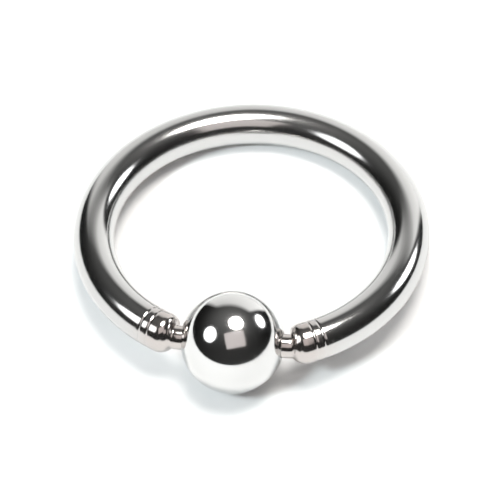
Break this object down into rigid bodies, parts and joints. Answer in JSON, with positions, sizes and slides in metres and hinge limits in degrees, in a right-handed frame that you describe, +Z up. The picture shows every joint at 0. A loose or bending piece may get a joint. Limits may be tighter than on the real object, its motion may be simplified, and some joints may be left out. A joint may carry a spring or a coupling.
{
  "type": "captive bead ring",
  "caption": "Open wire hoop closed by a captive ball that turns on the slim tips of the hoop's ends, lying on its side.",
  "frame": {"origin": "on the floor under the middle of the ring's box, as it lies on its bead and on the far side of its wire", "axes": "+Z up from the floor, +X to the right along the line that the bead turns on, -Y towards the bead"},
  "size_m": [0.0208, 0.0218, 0.006],
  "materials": {
    "hoop_steel": "mirror-polished stainless steel",
    "bead_steel": "mirror-polished stainless steel"
  },
  "bodies": {
    "ring": {"hoop": "hoop_steel"},
    "bead": {"bead": "bead_steel"}
  },
  "joints": [
    {"name": "bead_spin", "type": "hinge", "parent": "ring", "child": "bead", "pos_m": [0, -0.00794, 0.003], "axis": [1, 0, 0], "continuous": true}
  ]
}
